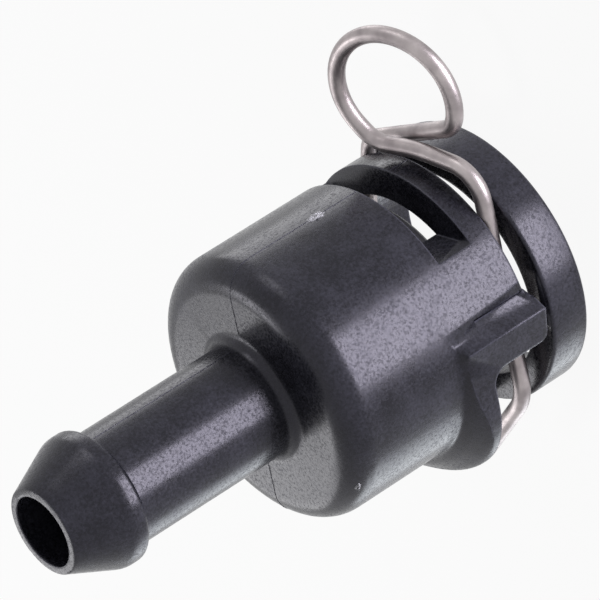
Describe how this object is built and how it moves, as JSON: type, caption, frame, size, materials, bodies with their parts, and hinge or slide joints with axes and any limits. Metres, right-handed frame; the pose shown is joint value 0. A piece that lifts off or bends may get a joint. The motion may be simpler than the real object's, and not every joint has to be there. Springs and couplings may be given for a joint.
{
  "type": "quick disconnect coupling",
  "caption": "Female quick disconnect coupling in black plastic with a hose barb nipple, a flared skirt and a sprung wire clip with a finger ring",
  "frame": {"origin": "on the bore axis at the plane of the flanged mouth face", "axes": "+Z runs along the bore to the tip of the hose barb, +X is the way the clip is pulled by its ring, the clip's legs lie at +Y and -Y"},
  "size_m": [0.0339, 0.0208, 0.0395],
  "materials": {
    "body_plastic": "satin moulded black, lightly grained",
    "spring_wire": "drawn stainless spring wire, satin",
    "bush_plastic": "plain moulded, dark grey",
    "seal_rubber": "smooth matt rubber"
  },
  "bodies": {
    "coupling": {"coupling_body": "body_plastic", "seal_retainer": "bush_plastic", "o_ring_outer": "seal_rubber", "spacer_ring": "bush_plastic", "o_ring_inner": "seal_rubber"},
    "clip": {"retaining_clip": "spring_wire"}
  },
  "joints": [
    {"name": "clip_release", "type": "slide", "parent": "coupling", "child": "clip", "axis": [1, 0, 0], "range_m": [0, 0.0025], "stiffness_N_per_m": 2000}
  ]
}
